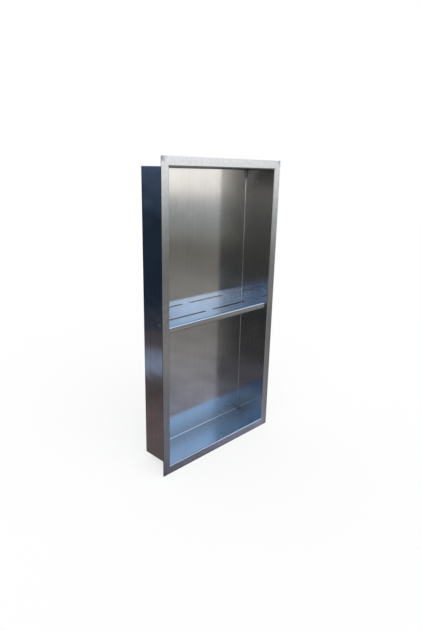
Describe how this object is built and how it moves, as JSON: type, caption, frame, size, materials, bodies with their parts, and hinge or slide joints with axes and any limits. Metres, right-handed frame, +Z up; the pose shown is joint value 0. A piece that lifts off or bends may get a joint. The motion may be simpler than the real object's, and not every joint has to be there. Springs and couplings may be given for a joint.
{
  "type": "shower niche insert",
  "caption": "Recessed stainless steel shower niche: folded open box with a flat tiling flange and a welded slotted shelf that splits it into an upper and a lower bay.",
  "frame": {"origin": "middle of the opening, in the plane where the back of the flange meets the wall", "axes": "+Z up, +Y into the wall from the open front towards the back of the box, +X to the right seen from the front"},
  "size_m": [0.343, 0.083, 0.648],
  "materials": {
    "body_steel": "brushed along the height",
    "shelf_steel": "brushed along the shelf"
  },
  "bodies": {
    "root": {"niche_body": "body_steel", "shelf": "shelf_steel"}
  },
  "joints": []
}
